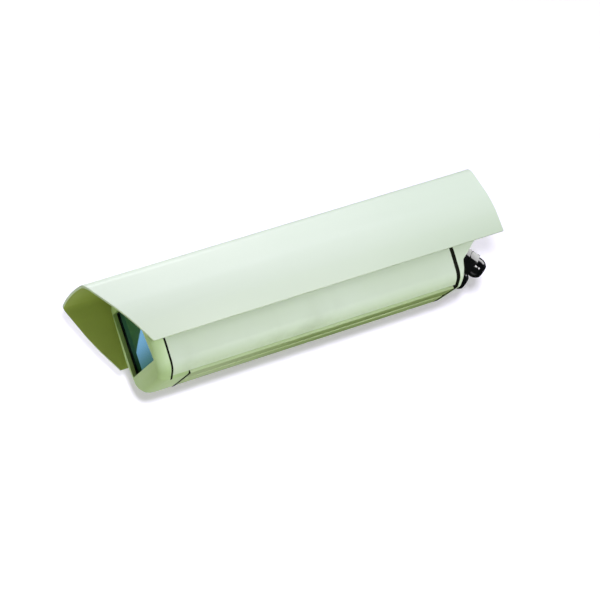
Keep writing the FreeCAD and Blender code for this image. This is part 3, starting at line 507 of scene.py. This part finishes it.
def swelled(node, by):
    """Dressed solid whose faces stand out, as rubber squeezed in its gap, cut level below."""
    piece = dressed(node, SEAL_EDGE_WIDTH)
    edit_all(piece)
    bpy.ops.transform.shrink_fatten(value=by / PER_METRE)
    leave_edit()
    if node == "base_seal":
        pick(piece, "FACE", lambda c, n: c.y < STRIP_REAR_Y)
        bpy.ops.transform.shrink_fatten(value=STRIP_SWELL / PER_METRE)
        leave_edit()
    edit_all(piece)
    bpy.ops.mesh.bisect(plane_co=mm(0.0, 0.0, SEAL_FOOT_Z), plane_no=(0.0, 0.0, 1.0),
                        use_fill=True, clear_inner=True)
    leave_edit()


def painted_shade_in_recess(piece):
    """Walls of the window recess in a darker green paint, which is painted shade."""
    piece.data.materials.append(RECESS_PAINTED_SHADE)
    pick(piece, "FACE", lambda c, n: abs(n.y) < SIDEWAYS and abs(c.x) < RECESS_HALF_WIDTH
         and RECESS_Y[0] < c.y < RECESS_Y[1] and RECESS_Z[0] < c.z < RECESS_Z[1])
    piece.active_material_index = 1
    bpy.ops.object.material_slot_assign()
    leave_edit()


# Sunshield: one bent sheet with rolled shoulders, raked front edge and countersunk fixings

NEAR = 0.1
# Corners of the section before they are rounded, x and z
CROWN, SHOULDER = (0.0, 127.365), (52.0, 123.065)
WING, WING_FOOT = (75.0, 75.5), (75.0, 39.5)
# Each corner's reach and steps of rounding
SHIELD_ROUNDINGS = ((CROWN, 33.08, 16), (SHOULDER, 7.995, 14), (WING, 16.04, 12))
SHIELD_REAR_Y, SHIELD_START_Y = 225.6, -275.0
RAKE_DEGREES = 28.75
RAKE_FOOT = (0.0, -205.7, WING_FOOT[1])
SPLITS_Y = (-60.0, 60.0)     # extra rings across the sheet, so that no face runs its whole length
SHEET_THICKNESS = 3.0
SHIELD_EDGE_WIDTH, SHIELD_SHARP_DEGREES = 0.7, 38.0
ROOF_Z = 126.0
FIXINGS_Y = (-120.0, 15.0, 150.0)
# The hole's middle and the sink's foot are this far below the roof
HOLE_RADIUS, HOLE_DEPTH, HOLE_MIDDLE = 2.7, 6.0, 5.0
SINK_RADIUS, SINK_DEPTH, SINK_FOOT = 5.6, 2.9, 2.7
ROUND_VERTICES = 48


def along(corner):
    """Test for the edges that run along the body at this corner of the section."""
    return lambda *ends: all(abs(abs(end.x) - corner[0]) < NEAR
                             and abs(end.z - corner[1]) < NEAR for end in ends)


def countersink(y):
    """Cutter in one piece for one countersunk hole in the roof."""
    bpy.ops.object.select_all(action="DESELECT")
    bpy.ops.mesh.primitive_cone_add(
        vertices=ROUND_VERTICES, radius1=HOLE_RADIUS / PER_METRE,
        radius2=SINK_RADIUS / PER_METRE, depth=SINK_DEPTH / PER_METRE,
        location=mm(0.0, y, ROOF_Z - SINK_FOOT + SINK_DEPTH / 2))
    cone = bpy.context.object
    bpy.ops.mesh.primitive_cylinder_add(
        vertices=ROUND_VERTICES, radius=HOLE_RADIUS / PER_METRE, depth=HOLE_DEPTH / PER_METRE,
        location=mm(0.0, y, ROOF_Z - HOLE_MIDDLE))
    drill = bpy.context.object
    settle(cone)
    settle(drill)
    combine(cone, drill, "UNION")
    return cone


def sunshield_sheet():
    half = 1.0      # of the starting plane's side
    bpy.ops.object.select_all(action="DESELECT")
    bpy.ops.mesh.primitive_plane_add(size=2.0 * half / PER_METRE, location=(0.0, 0.0, 0.0))
    sheet = named("sunshield_sheet")
    for test, step in (
            (lambda p: p.x < 0.0, (half + CROWN[0], 0.0, CROWN[1])),
            (lambda p: p.z < half, (SHOULDER[0] - half, 0.0, SHOULDER[1])),
            (lambda p: p.y > 0.0, (0.0, SHIELD_REAR_Y - half, 0.0)),
            (lambda p: p.y < 0.0, (0.0, SHIELD_START_Y + half, 0.0))):
        pick(sheet, "VERT", test)
        move(*step)
    for near, far in ((SHOULDER, WING), (WING, WING_FOOT)):
        pick(sheet, "EDGE", along(near))
        extrude(far[0] - near[0], 0.0, far[1] - near[1])
    leave_edit()
    apply_modifier(sheet, "MIRROR", use_axis=(True, False, False), use_clip=True,
                   merge_threshold=MERGE_METRES)
    edit_all(sheet)
    bpy.ops.mesh.normals_make_consistent(inside=False)
    leave_edit()
    if sum(face.normal.z * face.area for face in sheet.data.polygons) < 0.0:
        edit_all(sheet)
        bpy.ops.mesh.flip_normals()
        leave_edit()
    for corner, reach, steps in SHIELD_ROUNDINGS:
        pick(sheet, "EDGE", along(corner))
        bpy.ops.mesh.bevel(offset_type="OFFSET", offset=reach / PER_METRE, segments=steps,
                           profile=0.5, affect="EDGES")
        leave_edit()
    edit_all(sheet)
    rake = math.radians(RAKE_DEGREES)
    bpy.ops.mesh.bisect(plane_co=mm(*RAKE_FOOT), plane_no=(0.0, math.cos(rake), math.sin(rake)),
                        clear_inner=True)
    leave_edit()
    for y in SPLITS_Y:
        edit_all(sheet)
        bpy.ops.mesh.bisect(plane_co=mm(0.0, y, 0.0), plane_no=(0.0, 1.0, 0.0))
        leave_edit()
    sheet.data.materials.append(SHEET)
    # the inner face takes the olive painted shade
    sheet.data.materials.append(LINING_PAINTED_SHADE)
    apply_modifier(sheet, "SOLIDIFY", thickness=SHEET_THICKNESS / PER_METRE, offset=-1.0,
                   use_even_offset=True, material_offset=1, material_offset_rim=0)
    for y in FIXINGS_Y:
        combine(sheet, countersink(y))
    soften(sheet, SHIELD_EDGE_WIDTH, angle=SHIELD_SHARP_DEGREES)
    stand_for(sheet, "sunshield")


# Parts on the terminal board and screws in the terminal wells

BOARD_TOP = 11.6
SAME_HEIGHT = 0.01
RELAY_RIM, RELAY_FOOT_STEP, RELAY_FOOT_DEPTH = 0.9, 0.6, 0.3
WAYS, WAY_PITCH, FIRST_WAY_X, WAY_SCREW_Y = 6, 5.5, -10.0, 128.5
# Heights above the board's top
FUSE_AXIS, WAY_FLOOR, SLOT_FLOOR, SLOT_TOP = 2.9, 6.0, 7.2, 9.0
SLOT_HALF_WIDTH = 0.25
SLOT_Y = (126.0, 131.0)
RELAY_EDGE_WIDTH, CAN_EDGE_WIDTH, FUSE_EDGE_WIDTH, SCREW_EDGE_WIDTH = 0.35, 0.12, 0.15, 0.06
TURNED_VERTICES, SCREW_VERTICES = 40, 28
CAN_SECTIONS = ((4.1, 0.0), (4.1, 1.2), (3.7, 1.5), (3.7, 2.0), (4.1, 2.3), (4.1, 11.2),
                (3.6, 11.6), (3.2, 11.6), (3.1, 11.6))
FUSE_SECTIONS = ((2.9, 0.0), (2.9, 3.6), (2.4, 3.7), (2.4, 11.3), (2.9, 11.4), (2.9, 15.0),
                 (2.4, 15.2))
SCREW_SECTIONS = ((1.55, 0.0), (1.55, 1.5), (1.3, 1.8))


def shaped_cube(name, low, high):
    """Block between two corners."""
    bpy.ops.object.select_all(action="DESELECT")
    bpy.ops.mesh.primitive_cube_add(size=1.0 / PER_METRE)
    piece = named(name)
    edit_all(piece)
    bpy.ops.transform.resize(value=[b - a for a, b in zip(low, high)],
                             center_override=(0.0, 0.0, 0.0))
    move(*((a + b) / 2 for a, b in zip(low, high)))
    leave_edit()
    return piece


def relay(name, low, high, sink):
    """Moulded case: stepped foot and a sunk panel on top."""
    piece = shaped_cube(name, low, high)
    pick(piece, "FACE", lambda c, n: n.z > FACING)
    bpy.ops.mesh.inset(thickness=RELAY_RIM / PER_METRE)
    move(0.0, 0.0, -sink)
    pick(piece, "FACE", lambda c, n: n.z < -FACING)
    bpy.ops.mesh.inset(thickness=RELAY_FOOT_STEP / PER_METRE)
    move(0.0, 0.0, -RELAY_FOOT_DEPTH)
    leave_edit()
    soften(piece, RELAY_EDGE_WIDTH)
    belongs(piece, "terminal_board", RELAY)


def turned(name, place, sections, along_x=False, vertices=TURNED_VERTICES):
    """Round part grown ring by ring: each section is a radius and a height above the start."""
    (radius, start), (_, height) = sections[:2]
    bpy.ops.object.select_all(action="DESELECT")
    bpy.ops.mesh.primitive_cylinder_add(
        vertices=vertices, radius=radius / PER_METRE, depth=(height - start) / PER_METRE,
        location=mm(0.0, 0.0, (start + height) / 2))
    piece = named(name)
    settle(piece)
    for wide, high in sections[1:]:
        pick(piece, "FACE", lambda c, n: n.z > FACING and c.z > height - SAME_HEIGHT)
        if high > height or wide != radius:
            extrude(0.0, 0.0, high - height)
        share = wide / radius
        bpy.ops.transform.resize(value=(share, share, 1.0), center_override=mm(0.0, 0.0, high))
        leave_edit()
        radius, height = wide, high
    if along_x:
        piece.rotation_euler = (0.0, math.radians(90.0), 0.0)
    piece.location = mm(*place)
    settle(piece)
    return piece


def board_parts():
    top = BOARD_TOP
    relay("relay_large", (-6.0, 107.0, top), (9.0, 120.5, top + 10.5), 0.5)
    relay("relay_small", (11.5, 111.5, top), (19.5, 120.0, top + 8.0), 0.4)
    can = turned("capacitor", (17.0, 146.5, top), CAN_SECTIONS)
    soften(can, CAN_EDGE_WIDTH, 2)
    belongs(can, "terminal_board", SLEEVE)
    fuse = turned("fuse", (-6.0, 146.5, top + FUSE_AXIS), FUSE_SECTIONS, along_x=True)
    soften(fuse, FUSE_EDGE_WIDTH, 2)
    belongs(fuse, "terminal_board", STEEL)
    for i in range(WAYS):
        x = FIRST_WAY_X + WAY_PITCH * (i + 0.5)
        screw = turned("way_screw_" + str(i + 1), (x, WAY_SCREW_Y, top + WAY_FLOOR),
                       SCREW_SECTIONS, vertices=SCREW_VERTICES)
        cutter = shaped_cube("slot_cutter", (x - SLOT_HALF_WIDTH, SLOT_Y[0], top + SLOT_FLOOR),
                             (x + SLOT_HALF_WIDTH, SLOT_Y[1], top + SLOT_TOP))
        combine(screw, cutter)
        soften(screw, SCREW_EDGE_WIDTH, 2)
        belongs(screw, "terminal_block", BRASS)


sunshield_sheet()
board_parts()
for node, width in EDGE_WIDTHS.items():
    piece = dressed(node, width)
    if node == "front_cap":
        painted_shade_in_recess(piece)
for node, by in SEAL_SWELLS.items():
    swelled(node, by)


# Camera, lamps, floor and backdrop, in metres

WHITE = (1.0, 1.0, 1.0, 1.0)
PAPER = (0.8, 0.77, 0.95, 1.0)
PAPER_GLOW = (1.0, 0.93, 1.15, 1.0)
PAPER_BOUNCE = tone(172, 184, 128)
ROOM_LOW, ROOM_HIGH = (0.92, 1.0, 0.63, 1.0), (1.0, 1.0, 0.97, 1.0)
ROOM_GLOSS = (0.88, 0.94, 1.0, 1.0)
FAR_SHINE = 0.03         # how bright mirrors see the studio's dark half
LAMP_AIM = Vector((0.0, 0.0, 0.05))


def add_camera():
    """Seen from below and beside the window end, rolled so that the body runs up to the right."""
    azimuth, elevation, roll = (math.radians(angle) for angle in (68.02, -7.24, -20.42))
    distance, sensor, far_end = 2.5413, 36.0, 50.0      # sensor in millimetres
    focal, picture, offset_x, offset_y = 2267.9, 600.0, 16.1, -26.6      # pixels
    aim = Vector((0.0, 0.025, 0.0675))
    back = Vector((math.sin(azimuth) * math.cos(elevation),
                   -math.cos(azimuth) * math.cos(elevation), math.sin(elevation)))
    level = Vector((math.cos(azimuth), math.sin(azimuth), 0.0))
    rise = back.cross(level)
    right = math.cos(roll) * level + math.sin(roll) * rise
    up = math.cos(roll) * rise - math.sin(roll) * level
    place = (aim + back * distance - right * (offset_x / focal * distance)
             + up * (offset_y / focal * distance))
    data = bpy.data.cameras.new("view_camera")
    data.sensor_width = sensor
    data.lens = focal / picture * sensor
    data.clip_end = far_end
    camera = bpy.data.objects.new("view_camera", data)
    bpy.context.scene.collection.objects.link(camera)
    turn = Matrix((right, up, back)).transposed()
    camera.matrix_world = Matrix.Translation(place) @ turn.to_4x4()
    bpy.context.scene.camera = camera


def pale_stage(name, fill, shine):
    """Plain pale surface that keeps the object's shadow and is open from behind.

    It glows by the fill for the camera, throws back olive light, and shows mirrors a white
    that falls from the shine towards the rear.
    """
    finish = Finish(name)
    tree = finish.tree
    finish.set(Base_Color=PAPER, Roughness=0.9, Specular_IOR_Level=0.0)
    path = finish.node("ShaderNodeLightPath").outputs
    geometry = finish.node("ShaderNodeNewGeometry").outputs
    glow = finish.node("ShaderNodeEmission", values={0: PAPER_GLOW, 1: fill})
    paper = finish.node("ShaderNodeAddShader",
                        values={0: finish.shader.outputs[0], 1: glow.outputs[0]})
    soft = finish.node("ShaderNodeBsdfDiffuse", values={0: PAPER_BOUNCE})
    place = finish.node("ShaderNodeSeparateXYZ", values={0: geometry["Position"]})
    near = span(tree, place.outputs[1], (-0.1, 0.05), (shine, FAR_SHINE))
    bright = finish.node("ShaderNodeEmission", values={0: WHITE, 1: near})
    clear = finish.node("ShaderNodeBsdfTransparent")
    seen = choice(tree, path["Is Camera Ray"], soft.outputs[0], paper.outputs[0])
    mirror = choice(tree, path["Is Glossy Ray"], seen, bright.outputs[0])
    whole = choice(tree, geometry["Backfacing"], mirror, clear.outputs[0])
    plug(tree, finish.out.inputs[0], whole)
    return finish.material


def add_stage():
    """Floor far below the housing and backdrop close behind it."""
    floor_side, floor_z, wall_side, wall_x = 12.0, -1.45, 3.0, -0.15
    bpy.ops.object.select_all(action="DESELECT")
    bpy.ops.mesh.primitive_plane_add(size=floor_side, location=(0.0, 0.0, floor_z))
    floor = bpy.context.object
    floor.name = "floor"
    floor.data.materials.append(pale_stage("floor_paper", fill=0.6, shine=0.08))
    bpy.ops.mesh.primitive_plane_add(size=wall_side, location=(wall_x, 0.0, 0.0),
                                     rotation=(0.0, math.radians(90.0), 0.0))
    wall = bpy.context.object
    wall.name = "backdrop"
    wall.data.materials.append(pale_stage("backdrop_paper", fill=0.26, shine=0.95))
    return [floor, wall]


def add_world():
    """White to the camera; a room, pale above and dim olive below, for the light on the object."""
    world = bpy.data.worlds.new("studio")
    bpy.context.scene.world = world
    world.use_nodes = True
    tree = world.node_tree
    tree.nodes.clear()
    path = add_node(tree, "ShaderNodeLightPath").outputs
    direction = add_node(tree, "ShaderNodeTexCoord").outputs["Generated"]
    x, y, z = add_node(tree, "ShaderNodeSeparateXYZ", values={0: direction}).outputs
    front = span(tree, y, (-1.0, 0.3), (-0.5, 0.0))
    height = span(tree, Wire(tree, z) + Wire(tree, front), (-0.7, 0.6), (0.0, 1.0))
    level = span(tree, z, (-0.7, 0.8), (0.25, 0.52))
    shine = span(tree, x, (-0.3, 0.2), (1.0, FAR_SHINE))
    tint = colour_mix(tree, height, ROOM_LOW, ROOM_HIGH)
    room, gloss, white = (
        add_node(tree, "ShaderNodeBackground", values={0: colour, 1: strength}).outputs[0]
        for colour, strength in ((tint, level), (ROOM_GLOSS, shine), (WHITE, 1.0)))
    lit = choice(tree, path["Is Glossy Ray"], room, gloss)
    whole = choice(tree, path["Is Camera Ray"], lit, white)
    add_node(tree, "ShaderNodeOutputWorld", values={0: whole})


def starting(start):
    """Every object whose name starts like this, solids and dressed pieces alike."""
    return [piece for piece in bpy.data.objects if piece.name.startswith(start)]


def lamp_group(name, state, pieces):
    """Collection that tells a lamp which pieces it lights or leaves out."""
    group = bpy.data.collections.new(name)
    for piece in pieces:
        group.objects.link(piece)
    for link in group.collection_objects:
        link.light_linking.link_state = state
    return group


def add_lamp(name, place, size, power, lit, blocks=None):
    """Round soft lamp aimed at the housing, with the groups that it lights and that stop it.

    With no group to stop it, every object does.
    """
    data = bpy.data.lights.new(name, "AREA")
    data.shape = "DISK"
    data.size = size
    data.energy = power
    lamp = bpy.data.objects.new(name, data)
    bpy.context.scene.collection.objects.link(lamp)
    lamp.location = place
    lamp.rotation_euler = (LAMP_AIM - Vector(place)).to_track_quat("-Z", "Y").to_euler()
    lamp.light_linking.receiver_collection = lit
    lamp.light_linking.blocker_collection = blocks


def add_lamps(paper):
    glands, tray, window_end = starting("gland_"), starting("base_tray"), starting("front_cap")
    shield = starting("sunshield")      # with its screws, washers and spacers
    all_but_shield = lamp_group("all_but_shield", "EXCLUDE", shield)
    only_paper = lamp_group("only_paper", "INCLUDE", paper)
    key_leaves_out = lamp_group("key_leaves_out", "EXCLUDE", paper + tray + window_end + shield)
    ends = lamp_group("window_end_and_shield", "INCLUDE", window_end + shield)
    only_tray = lamp_group("only_tray", "INCLUDE", tray)
    all_but_paper = lamp_group("all_but_paper", "EXCLUDE", paper)
    only_glands = lamp_group("only_glands", "INCLUDE", glands)
    beside = (2.47, -0.82, -0.09)
    add_lamp("paper_lamp", beside, size=0.2, power=36.0, lit=only_paper)
    add_lamp("paper_lamp_2", beside, size=0.2, power=27.0, lit=only_paper, blocks=all_but_shield)
    add_lamp("key_lamp", (2.1, 0.45, -1.15), size=0.8, power=30.0, lit=key_leaves_out)
    add_lamp("side_lamp", (2.25, 0.4, -0.42), size=0.8, power=28.3, lit=ends)
    add_lamp("tray_lamp", (2.3, 0.3, -0.33), size=0.3, power=31.0, lit=only_tray)
    add_lamp("top_lamp", (0.6, 0.3, 2.35), size=0.8, power=29.5, lit=all_but_paper)
    add_lamp("gland_lamp", (0.25, 1.85, 0.65), size=1.3, power=28.0, lit=only_glands)


add_camera()
paper = add_stage()
add_world()
add_lamps(paper)
bpy.context.scene.view_settings.view_transform = "Standard"
